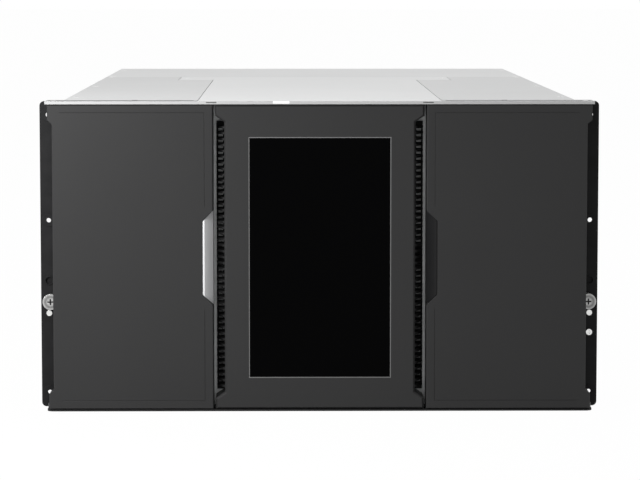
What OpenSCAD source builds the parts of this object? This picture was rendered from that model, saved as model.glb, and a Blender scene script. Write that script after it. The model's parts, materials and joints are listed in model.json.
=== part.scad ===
// Rack-mounted data tape library, six rack units high.
// X points to the viewer's right, -Y is the front with the doors, +Z is up.
// Every piece is drawn with y = 0 on the front face of the rack ears, and
// placed() then moves it so that the origin is the bottom centre of the whole.

/* [Rack envelope] */
// Width of a rack ear beside the chassis
ear_w = 21.3; // [20:0.1:22]
// Height by which the rack ears stop short of the covers' top
ear_top_gap = 1; // [0.5:0.1:2]
// Thickness of the rack ear sheet
ear_t = 2.5; // [2:0.1:3]
// Depth of the ear flange that lies along the side panel
ear_return_d = 118; // [80:1:200]
// Width of the chassis behind the ears
chassis_w = 440; // [438:0.5:442]
// Height of the chassis with its covers on
chassis_h = 266.4; // [265.6:0.1:266.6]
// Depth of the chassis behind the front face of the ears
chassis_d = 820; // [816:1:860]
// Thickness of the chassis sheet
sheet_t = 1.5; // [1.2:0.1:2]
// Width of the folded flanges on the side panels
flange_w = 12; // [10:0.5:14]

/* [Rack ear holes] */
// Distance of the thumbscrew axis from the chassis side
thumb_out = 12.55; // [12:0.05:13]
// Height of the thumbscrew axis
thumb_z = 92.2; // [88:0.1:96]
// Distance of the tooling holes from the chassis side
ear_hole_out = 14.2; // [13.5:0.1:15]
// Diameter of the tooling holes in the ears
ear_hole_d = 4; // [3:0.1:5]
// Height of the lowest tooling hole
ear_hole_low_z = 12.6; // [11:0.1:14]
// Height of the middle tooling hole
ear_hole_mid_z = 162.4; // [155:0.1:170]
// Distance of the top tooling hole below the ear's top
ear_hole_drop = 11.8; // [10:0.1:14]
// Height of the blind clinch nut above the thumbscrew
clinch_z = 110; // [108:0.1:120]

/* [Front door shells] */
// Distance that the doors stand in front of the ears
door_reach = 29.4; // [28:0.1:32]
// Depth of a door shell from its face to its open back
door_depth = 23.4; // [22:0.1:24]
// Wall thickness of a door shell
door_wall = 2.5; // [2:0.1:3]
// Distance of a door's inner edge from the centre plane
door_inner_x = 91.3; // [91:0.1:93]
// Distance of a door's outer edge outside the chassis side
door_outer_out = 8.5; // [7:0.1:9]
// Distance of the hinge tabs' outer edge outside the chassis side
door_tab_out = 12.5; // [12:0.1:14]
// Height of a hinge tab, without its chamfer
door_tab_h = 13; // [12:0.1:16]
// Height of the chamfer beside a hinge tab
door_tab_chamfer = 3.4; // [2:0.1:5]
// Clearance above and below a door
door_gap = 0.4; // [0.3:0.1:0.8]
// Chamfer on the front edges of a door
door_edge = 0.8; // [0.4:0.1:1.2]
// Distance of the door face's inset field from its edges
door_field = 7; // [5:0.5:10]
// Width of the groove around the inset field
door_groove_w = 0.5; // [0.4:0.1:0.8]
// Depth of the groove around the inset field
door_groove_d = 0.3; // [0.2:0.05:0.5]
// Diameter of a hinge pin
pin_d = 5; // [4:0.1:6]
// Radial clearance of a hinge pin in its door
pin_fit = 0.05; // [0.03:0.01:0.1]
// Depth of a hinge pin in its door
pin_engage = 10; // [8:0.5:12]
// Distance of the hinge axis outside the chassis side
hinge_out = 8; // [7.5:0.1:8.5]
// Distance of the hinge axis in front of the ears
hinge_front = 17; // [16:0.1:18]

/* [Door grips] */
// Height of a grip along the door's edge
grip_h = 80.9; // [70:0.1:90]
// Width of a grip
grip_w = 9; // [8:0.1:12]
// Depth by which a grip slants away from the door's face
grip_slant = 8; // [6:0.1:10]
// Thickness of a grip insert
grip_t = 1.6; // [1.2:0.1:2]
// Height of the middle of a grip
grip_z = 132.3; // [125:0.1:140]

/* [Centre bezel] */
// Half width of the bezel at its top and bottom
bezel_wide_x = 89.3; // [88:0.1:90]
// Half width of the bezel beside the vents
bezel_narrow_x = 81.6; // [78:0.1:84]
// Height of the bezel's wide foot and head
bezel_wide_h = 9.5; // [8:0.1:14]
// Height of the slope from wide to narrow
bezel_slope_h = 5.2; // [4:0.1:8]
// Wall thickness of the bezel
bezel_wall = 3; // [2.5:0.1:4]
// Chamfer on the front edges of the bezel
bezel_edge = 1.6; // [0.8:0.1:2]

/* [Touch screen] */
// Width of the screen glass
glass_w = 120.4; // [110:0.1:130]
// Distance of the glass's upper edge below the covers' top
glass_top_gap = 31.2; // [28:0.1:40]
// Height of the glass's lower edge
glass_z = 29.6; // [26:0.1:34]
// Thickness of the glass
glass_t = 2; // [1.5:0.1:3]
// Width of the thin frame around the glass
trim_w = 0.8; // [0.6:0.1:1.5]
// Depth of the display module behind the glass
display_t = 9; // [7:0.5:12]

/* [Vent grilles] */
// Spacing of the vent fins
fin_pitch = 5.06; // [4.5:0.01:6]
// Thickness of a vent fin
fin_t = 1.8; // [1.4:0.1:2.4]
// Distance that the fins start behind the bezel's face
fin_setback = 3; // [2:0.1:6]
// Depth of a fin beside the bezel
fin_d = 17; // [14:0.1:19]

/* [Tape magazines] */
// Depth behind the magazines that the bulkhead, drives and power supplies take
rear_room = 250; // [240:1:260]
// Length of a cartridge, along X
cart_l = 105.4; // [105.4:0.1:105.4]
// Width of a cartridge, along Y
cart_w = 102; // [102:0.1:102]
// Thickness of a cartridge
cart_t = 21.5; // [21.5:0.1:21.5]
// Space that a slot is longer and taller than its cartridge
slot_clear = 0.9; // [0.6:0.1:1]
// Thickness of the shelves between the slots
slot_shelf = 1.9; // [1.7:0.1:2]
// Thickness of the ribs between the columns
slot_rib = 6; // [5:0.1:6.5]
// Thickness of a magazine's outer wall
mag_wall = 3; // [2.5:0.1:3.3]
// Gap between a magazine and the side panel
mag_side_gap = 4.6; // [3.2:0.1:5.2]
// Distance of a closed magazine's front behind the ears' front face
mag_front_y = 3; // [2:0.1:5]
// Distance that a magazine's handle stands forward of it
mag_handle_reach = 8; // [6:0.5:9]
// Distance that a released magazine springs forward
mag_travel = 18; // [10:1:20]
// Height of the lower magazines' seat above the floor sheet
runner_h = 4.2; // [3.6:0.1:4.6]
// Width of a magazine runner
runner_w = 7; // [5:0.5:10]

/* [Drives and modules] */
// Number of drive bays, one above the other
drive_bays = 6; // [6:1:6]
// Spacing of the drive bays
drive_pitch = 42; // [41.5:0.1:42.3]
// Half width of the drive cage's inside
drive_half_w = 84; // [83:0.1:86]
// Height of a drive sled
sled_h = 40; // [39:0.1:40.2]
// Length of a drive sled behind the rear panel
sled_d = 222; // [200:1:228]
// Gap between a power supply and the side panel
module_side_gap = 15.5; // [12:0.1:20]
// Height of a power supply
psu_h = 44; // [40:1:48]
// Length of a power supply behind the rear panel
psu_d = 210; // [180:1:225]
// Distance of the modules beside the drives from the centre plane
module_x = 98; // [94:0.5:100]
// Height of the lowest module's floor
module_z = 9; // [8:0.5:14]
// Running gap around sleds, power supplies and the controller
module_gap = 0.5; // [0.3:0.1:0.8]
// Thickness of the cage sheets
cage_t = 1.2; // [1:0.1:1.5]
// Distance that the rear handles stand out
handle_reach = 20; // [18:1:30]
// Diameter of a rear handle's rod
handle_d = 8; // [8:1:8]
// Size of a square cooling fan
fan_size = 80; // [70:1:86]
// Depth of a cooling fan
fan_depth = 25; // [20:1:30]

/* [Robot] */
// Length of the carriage along the aisle
carriage_d = 120; // [100:1:140]
// Distance of the parked carriage behind the ears' front face
carriage_y = 40; // [30:1:60]
// Distance of a floor rail from the centre plane
rail_x = 70; // [60:1:76]
// Diameter of the lift's guide rods
rod_d = 8; // [6:0.5:10]
// Height of the parked picker above the floor sheet
picker_z = 26; // [24:1:40]
// Reach of the gripper towards a magazine
gripper_reach = 24; // [10:1:26]

/* [Fasteners] */
// Diameter of a thumbscrew's head
thumb_d = 13.6; // [12:0.1:15]
// Height of a thumbscrew's head
thumb_head_h = 9; // [7:0.1:9.5]
// Diameter of a thumbscrew's shank
thumb_shank_d = 5; // [4:0.1:6]
// Length of a thumbscrew's shank behind the ear
thumb_shank_l = 12; // [8:0.5:16]
// Head diameter of the cover screws
screw_head_d = 6.4; // [5:0.1:8]
// Head height of the cover screws
screw_head_h = 1; // [0.6:0.1:1.5]
// Shank diameter of the cover screws
screw_shank_d = 3; // [2.5:0.1:4]

/* [Hidden] */
$fn = 48;

over = 1;
seat = 0.3;
y_shift = (door_reach - chassis_d - handle_reach) / 2;
half_w = chassis_w / 2;
inner_x = half_w - sheet_t;
cover_z = chassis_h - sheet_t;
door_z0 = sheet_t + door_gap;
door_z1 = chassis_h - sheet_t - 1 - door_gap;
door_h = door_z1 - door_z0;
door_face_y = -door_reach;
door_back_y = door_face_y + door_depth;
hinge_y = -hinge_front;
grip_z0 = grip_z - grip_h / 2;
grip_z1 = grip_z + grip_h / 2;
thumb_x = half_w + thumb_out;
ear_h = chassis_h - ear_top_gap;
ear_hole_x = half_w + ear_hole_out;
ear_hole_top_z = ear_h - ear_hole_drop;
door_outer_x = half_w + door_outer_out;
door_tab_x = half_w + door_tab_out;
hinge_x = half_w + hinge_out;
glass_h = chassis_h - glass_z - glass_top_gap;

// Magazine sizes follow the cartridge, and as many rows are stacked as two magazines have room for
slot_h = cart_t + slot_clear;
slot_w = cart_w + slot_clear;
stack_room = cover_z - 2 * (sheet_t + runner_h + seat) - 2 * slot_shelf - 2;
mag_rows = floor(stack_room / 2 / (slot_h + slot_shelf));
mag_cols = floor((chassis_d - mag_front_y - slot_rib - rear_room) / (slot_w + slot_rib));
mag_h = mag_rows * slot_h + (mag_rows + 1) * slot_shelf;
mag_d = mag_cols * slot_w + (mag_cols + 1) * slot_rib;
mag_w = cart_l + slot_clear + mag_wall;
mag_inner_x = inner_x - mag_side_gap - mag_w;
mag_outer_x = mag_inner_x + mag_w;
mag_back_y = mag_front_y + mag_d;
lower_mag_z = sheet_t + runner_h + seat;
shelf_z = lower_mag_z + mag_h + 2;
upper_mag_z = shelf_z + sheet_t + runner_h / 2 + seat;
bulkhead_y = mag_back_y + 8;

// The rear section stands between the bulkhead and the rear panel
rear_y = chassis_d - sheet_t;
sled_z0 = sheet_t + 4;
psu_w = inner_x - module_x - 2 * module_gap - module_side_gap;
module_w = psu_w + 2 * module_gap;
cover_split_y = 550;
plate_step_y = 467;
plate_half_w = 104.2;
plate_wide_x = 140;
cover_gap = 0.6;
frame_t = 2;
turn_y = carriage_y + 68;

// Moves a piece from the ear plane to the common origin
module placed() {
    translate([0, y_shift, 0]) children();
}

// side is -1 for the left and 1 for the right
module on_side(side) {
    mirror([side < 0 ? 1 : 0, 0, 0]) children();
}

// A box from its low corner to its high corner
module span(low, high) {
    translate(low) cube(high - low);
}

// An outline in X and Z, drawn out from y0 to y1
module front_extrude(y0, y1) {
    translate([0, y1, 0]) rotate([90, 0, 0]) linear_extrude(y1 - y0) children();
}

// A straight bore along Y
module bore_y(x, z, d, y0, y1) {
    translate([x, y0, z]) rotate([-90, 0, 0]) cylinder(h = y1 - y0, d = d);
}

// A square rod with its middle on the line from a to b, which cuts a chamfer of width c
// and runs past both ends by extra
module edge_cut(a, b, c, y, extra) {
    run = norm(b - a) + 2 * extra;
    translate([a[0], y, a[1]]) rotate([0, -atan2(b[1] - a[1], b[0] - a[0]), 0]) rotate([45, 0, 0])
        translate([-extra, -c / sqrt(2), -c / sqrt(2)]) cube([run, c * sqrt(2), c * sqrt(2)]);
}

// A row of slots along X, cut through from y0 to y1
module slot_row(x0, z, count, pitch, size, y0, y1) {
    for (i = [0 : count - 1])
        span([x0 + i * pitch, y0, z], [x0 + i * pitch + size[0], y1, z + size[1]]);
}

// Floor, sides and covers
module floor_sheet() {
    color("silver") placed() difference() {
        span([-half_w, 0, 0], [half_w, chassis_d, sheet_t]);
        for (y = [640 : 24 : 760], side = [-1, 1])
            translate([side * 150, y, -over]) rotate([0, 0, 90]) linear_extrude(sheet_t + 2 * over)
                hull() for (x = [-30, 30]) translate([0, x]) circle(d = 6, $fn = 24);
    }
}

module side_panel() {
    difference() {
        union() {
            span([inner_x, 0, sheet_t], [half_w, chassis_d, cover_z]);
            span([half_w - flange_w, ear_t, sheet_t], [half_w, rear_y - seat, 2 * sheet_t]);
            span([half_w - flange_w, ear_t, cover_z - sheet_t], [half_w, rear_y - seat, cover_z]);
        }
        for (i = [0 : 11], j = [0 : 5])
            translate([inner_x - over, 620 + i * 14, 60 + j * 28]) rotate([0, 90, 0])
                cylinder(h = sheet_t + 2 * over, d = 7, $fn = 24);
        for (spot = cover_screw_spots)
            translate([spot[0], spot[1], cover_z - 2 * sheet_t])
                cylinder(h = 3 * sheet_t, d = screw_shank_d + 0.2);
    }
}

module side_panel_left() {
    color("silver") placed() on_side(-1) side_panel();
}

module side_panel_right() {
    color("silver") placed() on_side(1) side_panel();
}

// Where the covers are screwed down
cover_screw_spots = [
    for (side = [-1, 1]) each [
        [side * (plate_wide_x - 7), plate_step_y + 48],
        [side * (half_w - 6), 60],
        [side * (half_w - 6), 300],
        [side * (half_w - 6), cover_split_y - 12],
        [side * (half_w - 6), cover_split_y + 20],
        [side * (half_w - 6), chassis_d - 60]
    ]
];

// Countersunk seats for the cover screws
module cover_screw_seats() {
    for (spot = cover_screw_spots)
        translate([spot[0], spot[1], 0]) {
            translate([0, 0, cover_z - over]) cylinder(h = sheet_t + 2 * over, d = screw_shank_d + 0.2);
            translate([0, 0, chassis_h - screw_head_h]) cylinder(h = screw_head_h + over, d = screw_head_d + 0.3);
        }
}

// A side cover lies between the centre cover and the chassis side
module side_cover() {
    difference() {
        span([plate_half_w + cover_gap, cover_gap, cover_z], [half_w, cover_split_y, chassis_h]);
        span([0, plate_step_y, cover_z - over], [plate_wide_x + cover_gap, chassis_d, chassis_h + over]);
        cover_screw_seats();
    }
}

module cover_left() {
    color("gainsboro") placed() on_side(-1) side_cover();
}

module cover_right() {
    color("gainsboro") placed() on_side(1) side_cover();
}

module cover_centre() {
    color("gainsboro") placed() difference() {
        union() {
            span([-plate_half_w, door_face_y + sheet_t + seat, cover_z],
                [plate_half_w, cover_split_y, chassis_h]);
            span([-plate_wide_x, plate_step_y + cover_gap, cover_z],
                [plate_wide_x, cover_split_y, chassis_h]);
        }
        cover_screw_seats();
    }
}

module cover_rear() {
    color("gainsboro") placed() difference() {
        span([-half_w, cover_split_y + cover_gap, cover_z], [half_w, chassis_d, chassis_h]);
        cover_screw_seats();
    }
}

// Sheet frame behind the bezel, open where the magazines pass
module front_frame() {
    margin = 0.8;
    color("silver") placed() difference() {
        span([-inner_x, 0, sheet_t], [inner_x, frame_t, cover_z]);
        for (side = [-1, 1]) on_side(side)
            span([mag_inner_x - margin, -over, lower_mag_z - margin],
                [mag_outer_x + margin, frame_t + over, upper_mag_z + mag_h + margin]);
        span([-glass_w / 2, -over, glass_z + 30], [glass_w / 2, frame_t + over, glass_z + glass_h - 30]);
        for (x = [-78, 72], i = [0 : 13])
            span([x, -over, glass_z + i * 15], [x + 6, frame_t + over, glass_z + i * 15 + 10]);
    }
}

// The hood caps the doors: a top sheet with a short lip in front
module front_hood() {
    color("gainsboro") placed() difference() {
        union() {
            for (side = [-1, 1]) on_side(side)
                span([plate_half_w + cover_gap, door_face_y, cover_z],
                    [door_tab_x + 2, -seat, chassis_h]);
            span([-door_tab_x - 2, door_face_y, door_z1 + door_gap],
                [door_tab_x + 2, door_face_y + sheet_t, chassis_h]);
        }
        for (side = [-1, 1])
            translate([side * hinge_x, hinge_y, cover_z - over])
                cylinder(h = sheet_t + 2 * over, d = pin_d);
    }
}

// The sill carries the doors' lower hinge pins
module front_sill() {
    corner = 6;
    color("dimgray") placed() difference() {
        union() {
            span([-half_w, door_face_y, 0], [half_w, 0, sheet_t]);
            for (side = [-1, 1]) on_side(side) {
                span([half_w - over, door_face_y + corner, 0], [door_tab_x + 2, -seat, sheet_t]);
                span([half_w - over, door_face_y, 0], [door_tab_x + 2 - corner, -seat, sheet_t]);
                translate([door_tab_x + 2 - corner, door_face_y + corner, 0])
                    cylinder(h = sheet_t, r = corner);
            }
        }
        for (side = [-1, 1])
            translate([side * hinge_x, hinge_y, -over]) cylinder(h = sheet_t + 2 * over, d = pin_d);
    }
}

// Rack ears with a return flange on the side panel
module rack_ear() {
    corner = 4;
    difference() {
        union() {
            front_extrude(0, ear_t) hull() {
                translate([half_w, 0]) square([1, ear_h]);
                for (z = [corner, ear_h - corner])
                    translate([half_w + ear_w - corner, z]) circle(r = corner);
            }
            span([half_w, 0, 2], [half_w + ear_t, ear_return_d, ear_h - 2]);
            for (z = [ear_hole_low_z, ear_hole_mid_z, ear_hole_top_z])
                bore_y(ear_hole_x, z, 11.2, -0.6, ear_t);
            bore_y(ear_hole_x, clinch_z, 8, -0.5, ear_t);
        }
        for (z = [ear_hole_low_z, ear_hole_mid_z, ear_hole_top_z])
            bore_y(ear_hole_x, z, ear_hole_d, -over, ear_t + over);
        bore_y(ear_hole_x, clinch_z, 6, -over, 1.6);
        bore_y(thumb_x, thumb_z, thumb_shank_d + 0.12, -over, ear_t + over);
    }
}

module rack_ear_left() {
    color([0.16, 0.16, 0.17]) placed() on_side(-1) rack_ear();
}

module rack_ear_right() {
    color([0.16, 0.16, 0.17]) placed() on_side(1) rack_ear();
}

// Small bright rivets and screws on the ears
module ear_rivets() {
    color("silver") placed() {
        for (side = [-1, 1])
            bore_y(side * ear_hole_x, thumb_z - 10.5, 5, -1.4, 0);
        difference() {
            bore_y(ear_hole_x, thumb_z - 27.6, 5.4, -1.4, 0);
            for (turn = [0, 90])
                translate([ear_hole_x, -1.4, thumb_z - 27.6]) rotate([0, turn, 0])
                    cube([3.4, 1.2, 0.8], center = true);
        }
        for (side = [-1, 1], y = [30, 96], z = [40, 132, 226])
            translate([side * (half_w + ear_t), y, z]) rotate([0, side * 90, 0])
                cylinder(h = 1, d1 = 7, d2 = 5);
    }
}

// Doors
module hinge_pins() {
    color("silver") placed()
        for (side = [-1, 1]) {
            translate([side * hinge_x, hinge_y, 0])
                cylinder(h = door_z0 + pin_engage, d = pin_d);
            translate([side * hinge_x, hinge_y, door_z1 - pin_engage])
                cylinder(h = chassis_h - door_z1 + pin_engage, d = pin_d);
        }
}

// Outline of the right door seen from the front, grown inwards by inset
function door_outline(inset) = [
    [door_inner_x + inset, door_z0 + inset],
    [door_tab_x - inset, door_z0 + inset],
    [door_tab_x - inset, door_z0 + door_tab_h],
    [door_outer_x - inset, door_z0 + door_tab_h + door_tab_chamfer],
    [door_outer_x - inset, door_z1 - door_tab_h - door_tab_chamfer],
    [door_tab_x - inset, door_z1 - door_tab_h],
    [door_tab_x - inset, door_z1 - inset],
    [door_inner_x + inset, door_z1 - inset]
];

// Outline of the grip recess in the door's inner edge, grown by extra
function grip_outline(extra) = [
    [door_inner_x - over, grip_z0 - extra],
    [door_inner_x, grip_z0 - extra],
    [door_inner_x + grip_w + extra, grip_z0 + grip_w - extra / 2],
    [door_inner_x + grip_w + extra, grip_z1 - grip_w + extra / 2],
    [door_inner_x, grip_z1 + extra],
    [door_inner_x - over, grip_z1 + extra]
];

// A moulded door: a hollow pan open at the back, ribbed round the hinge
module door_shell() {
    corners = door_outline(0);
    field_x0 = door_inner_x + door_field;
    field_x1 = door_outer_x - door_field;
    field_z0 = door_z0 + door_field;
    field_z1 = door_z1 - door_field;
    difference() {
        union() {
            difference() {
                front_extrude(door_face_y, door_back_y) polygon(door_outline(0));
                front_extrude(door_face_y + door_wall, door_back_y + over) polygon(door_outline(door_wall));
                // Chamfers on the straight edges; those beside the slopes stop short of them
                for (i = [0, 1, 5, 6, 7])
                    edge_cut(corners[i], corners[(i + 1) % 8], door_edge, door_face_y, door_edge / 4);
                edge_cut(corners[3], corners[4], door_edge, door_face_y, -door_edge);
            }
            for (z = [door_z0, door_z1 - pin_engage - 1])
                intersection() {
                    translate([hinge_x, hinge_y, z]) cylinder(h = pin_engage + 1, d = 2 * pin_d);
                    front_extrude(door_face_y + 1, door_back_y) polygon(door_outline(0));
                }
            // Knuckle on the lower pin
            translate([hinge_x, hinge_y, door_z0]) cylinder(h = 3.6, d = 12.8);
            front_extrude(door_face_y + 1, door_face_y + grip_slant + grip_t + door_wall)
                difference() {
                    polygon(grip_outline(door_wall));
                    translate([door_inner_x - 2 * over, 0]) square([2 * over, chassis_h]);
                }
        }
        // Recess for the grip insert
        front_extrude(door_face_y - over, door_face_y + grip_slant + grip_t) polygon(grip_outline(0.3));
        // Groove around the inset field, open towards the hinge side
        for (z = [field_z0, field_z1])
            span([field_x0, door_face_y - over, z],
                [field_x1, door_face_y + door_groove_d, z + door_groove_w]);
        for (part = [[field_z0, grip_z0 - 4], [grip_z1 + 4, field_z1]])
            span([field_x0, door_face_y - over, part[0]],
                [field_x0 + door_groove_w, door_face_y + door_groove_d, part[1]]);
        // The outer wall stops short of the ears between the tabs, which leaves room for the thumbscrew
        span([thumb_x - thumb_d / 2 - 2, -thumb_head_h - 4, door_z0 + door_tab_h + door_tab_chamfer + 2],
            [door_tab_x + over, 0, door_z1 - door_tab_h - door_tab_chamfer - 2]);
        for (z = [door_z0 - over, door_z1 - pin_engage - seat])
            translate([hinge_x, hinge_y, z])
                cylinder(h = pin_engage + seat + over, d = pin_d + 2 * pin_fit);
    }
}

module door_left_shell() {
    color([0.25, 0.25, 0.26]) placed() on_side(-1) door_shell();
}

module door_right_shell() {
    color([0.22, 0.22, 0.23]) placed() on_side(1) door_shell();
}

// The grip insert slants back from the door's face to its inner edge
module door_grip() {
    intersection() {
        front_extrude(door_face_y, door_face_y + grip_slant + grip_t) polygon(grip_outline(0));
        translate([0, 0, grip_z0]) linear_extrude(grip_h)
            polygon([
                [door_inner_x, door_face_y + grip_slant],
                [door_inner_x + grip_w - grip_t, door_face_y + 0.5],
                [door_inner_x + grip_w, door_face_y + 0.5],
                [door_inner_x + grip_w, door_face_y + grip_slant + grip_t],
                [door_inner_x, door_face_y + grip_slant + grip_t]
            ]);
    }
}

module door_left_grip() {
    color([0.7, 0.7, 0.7]) placed() on_side(-1) door_grip();
}

module door_right_grip() {
    color([0.14, 0.14, 0.15]) placed() on_side(1) door_grip();
}

// Captive thumbscrew with a knurled head and a cross recess
module thumbscrew() {
    flutes = 24;
    difference() {
        union() {
            bore_y(0, 0, thumb_d, -thumb_head_h, -1.2);
            bore_y(0, 0, thumb_d - 3, -1.2, -seat);
            bore_y(0, 0, thumb_shank_d - 0.6, -seat - over, ear_t + 2);
            bore_y(0, 0, thumb_shank_d, ear_t + 0.5, ear_t + thumb_shank_l);
        }
        for (i = [0 : flutes - 1])
            rotate([0, i * 360 / flutes, 0])
                bore_y(thumb_d / 2 + 0.2, 0, 1.1, -thumb_head_h + 1.2, -1);
        for (turn = [0, 90])
            rotate([0, turn, 0])
                span([-2.6, -thumb_head_h - over, -0.6], [2.6, -thumb_head_h + 1.8, 0.6]);
    }
}

module thumbscrew_left() {
    color("silver") placed() translate([-thumb_x, 0, thumb_z]) thumbscrew();
}

module thumbscrew_right() {
    color("silver") placed() translate([thumb_x, 0, thumb_z]) thumbscrew();
}

// Centre bezel with the touch screen
function bezel_outline(inset) = [
    [-bezel_wide_x + inset, door_z0 + inset],
    [bezel_wide_x - inset, door_z0 + inset],
    [bezel_wide_x - inset, door_z0 + bezel_wide_h],
    [bezel_narrow_x - inset, door_z0 + bezel_wide_h + bezel_slope_h],
    [bezel_narrow_x - inset, door_z1 - bezel_wide_h - bezel_slope_h],
    [bezel_wide_x - inset, door_z1 - bezel_wide_h],
    [bezel_wide_x - inset, door_z1 - inset],
    [-bezel_wide_x + inset, door_z1 - inset],
    [-bezel_wide_x + inset, door_z1 - bezel_wide_h],
    [-bezel_narrow_x + inset, door_z1 - bezel_wide_h - bezel_slope_h],
    [-bezel_narrow_x + inset, door_z0 + bezel_wide_h + bezel_slope_h],
    [-bezel_wide_x + inset, door_z0 + bezel_wide_h]
];

// One convex block of the bezel with its front edges chamfered
module bezel_block(points, inner_points) {
    hull() {
        front_extrude(door_face_y, -seat - over) polygon(inner_points);
        front_extrude(door_face_y + bezel_edge, -seat) polygon(points);
    }
}

// The wide foot, or the wide head when mirrored, with slopes to the narrow part
function bezel_foot(inset) = [
    [-bezel_wide_x + inset, door_z0 + inset],
    [bezel_wide_x - inset, door_z0 + inset],
    [bezel_wide_x - inset, door_z0 + bezel_wide_h - inset / 2],
    [bezel_narrow_x - inset, door_z0 + bezel_wide_h + bezel_slope_h - inset / 2],
    [-bezel_narrow_x + inset, door_z0 + bezel_wide_h + bezel_slope_h - inset / 2],
    [-bezel_wide_x + inset, door_z0 + bezel_wide_h - inset / 2]
];

function flipped(points) = [for (p = points) [p[0], door_z0 + door_z1 - p[1]]];

function bezel_column(inset) = [
    [-bezel_narrow_x + inset, door_z0 + bezel_edge],
    [bezel_narrow_x - inset, door_z0 + bezel_edge],
    [bezel_narrow_x - inset, door_z1 - bezel_edge],
    [-bezel_narrow_x + inset, door_z1 - bezel_edge]
];

module bezel_shell() {
    window_x = glass_w / 2 + trim_w;
    color([0.23, 0.23, 0.24]) placed() difference() {
        union() {
            bezel_block(bezel_column(0), bezel_column(bezel_edge));
            bezel_block(bezel_foot(0), bezel_foot(bezel_edge));
            bezel_block(flipped(bezel_foot(0)), flipped(bezel_foot(bezel_edge)));
        }
        front_extrude(door_face_y + bezel_wall, over) polygon(bezel_outline(bezel_wall));
        span([-window_x, door_face_y - over, glass_z - trim_w],
            [window_x, door_face_y + bezel_wall + over, glass_z + glass_h + trim_w]);
        // Air slots through the side walls, behind the fins
        for (side = [-1, 1], i = [0 : 21])
            span([side * bezel_narrow_x - 2 * bezel_wall, -9, door_z0 + 20 + i * 2 * fin_pitch],
                [side * bezel_narrow_x + 2 * bezel_wall, -3, door_z0 + 25 + i * 2 * fin_pitch]);
    }
}

module screen_glass() {
    color([0.02, 0.02, 0.02]) placed()
        span([-glass_w / 2, door_face_y + 0.4, glass_z],
            [glass_w / 2, door_face_y + 0.4 + glass_t, glass_z + glass_h]);
}

module screen_trim() {
    outer_x = glass_w / 2 + trim_w;
    color([0.35, 0.35, 0.35]) placed() difference() {
        span([-outer_x, door_face_y + 0.2, glass_z - trim_w],
            [outer_x, door_face_y + bezel_wall, glass_z + glass_h + trim_w]);
        span([-glass_w / 2, door_face_y - over, glass_z],
            [glass_w / 2, door_face_y + bezel_wall + over, glass_z + glass_h]);
    }
}

module display_module() {
    y0 = door_face_y + 0.4 + glass_t;
    color("dimgray") placed() difference() {
        union() {
            span([-glass_w / 2, y0, glass_z], [glass_w / 2, y0 + display_t, glass_z + glass_h]);
            for (side = [-1, 1], z = [glass_z + 12, glass_z + glass_h - 12])
                bore_y(side * (glass_w / 2 + 5), z, 7, door_face_y + bezel_wall, y0 + display_t);
            for (side = [-1, 1], z = [glass_z + 12, glass_z + glass_h - 12]) on_side(side)
                span([glass_w / 2 - over, y0 + display_t - 1.5, z - 3],
                    [glass_w / 2 + 5, y0 + display_t, z + 3]);
        }
        for (side = [-1, 1], z = [glass_z + 12, glass_z + glass_h - 12])
            bore_y(side * (glass_w / 2 + 5), z, 3, door_face_y, 0);
    }
}

module display_board() {
    y0 = door_face_y + 0.4 + glass_t + display_t;
    color("darkgreen") placed() {
        span([-50, y0 + 2, 60], [50, y0 + 3.6, 210]);
        for (x = [-44, 44], z = [66, 204])
            bore_y(x, z, 5, y0, y0 + 2);
        span([-14, y0 + 3.6, 120], [14, y0 + 6.6, 148]);
        for (i = [0 : 3])
            span([-40 + i * 21, y0 + 3.6, 70], [-25 + i * 21, y0 + 8, 82]);
    }
}

// Horizontal fins reach from the bezel towards the door and slope away from it
module vent_grille() {
    x0 = bezel_narrow_x;
    x1 = door_inner_x - 2.6;
    z0 = door_z0 + bezel_wide_h + bezel_slope_h;
    z1 = door_z1 - bezel_wide_h - bezel_slope_h;
    front_y = door_face_y + fin_setback;
    count = floor((z1 - z0) / fin_pitch);
    first = z0 + ((z1 - z0) - (count - 1) * fin_pitch - fin_t) / 2;
    difference() {
        span([x0, front_y + fin_d, z0], [x1, front_y + fin_d + 1.5, z1]);
        for (i = [0 : count - 2])
            span([x0 + 1.5, front_y + fin_d - over, first + i * fin_pitch + fin_t + 0.6],
                [x1 - 1.5, front_y + fin_d + 3, first + (i + 1) * fin_pitch - 0.6]);
    }
    for (i = [0 : count - 1])
        translate([0, 0, first + i * fin_pitch]) linear_extrude(fin_t)
            polygon([[x0, front_y], [x0 + 1.4, front_y + 0.4], [x1, front_y + fin_d - 3],
                [x1, front_y + fin_d], [x0, front_y + fin_d]]);
    // Keeper of the door's ball catch
    span([x0, front_y + fin_d + 1.5, grip_z - 8], [x1, -seat, grip_z + 8]);
}

module vent_grille_left() {
    color([0.12, 0.12, 0.13]) placed() on_side(-1) vent_grille();
}

module vent_grille_right() {
    color([0.12, 0.12, 0.13]) placed() on_side(1) vent_grille();
}

// Magazine bays
module bay_shelf() {
    difference() {
        union() {
            span([mag_inner_x, ear_t + 1, shelf_z], [inner_x, bulkhead_y, shelf_z + sheet_t]);
            span([inner_x - sheet_t, ear_t + 1, shelf_z - 0.5], [inner_x, bulkhead_y, shelf_z + 10]);
        }
        for (i = [0 : mag_cols - 1])
            span([mag_inner_x + 22, mag_front_y + slot_rib + i * (slot_w + slot_rib) + 14, shelf_z - over],
                [mag_outer_x - 24, mag_front_y + slot_rib + i * (slot_w + slot_rib) + slot_w - 14,
                    shelf_z + sheet_t + over]);
    }
}

module bay_shelf_left() {
    color("silver") placed() on_side(-1) bay_shelf();
}

module bay_shelf_right() {
    color("silver") placed() on_side(1) bay_shelf();
}

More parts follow.
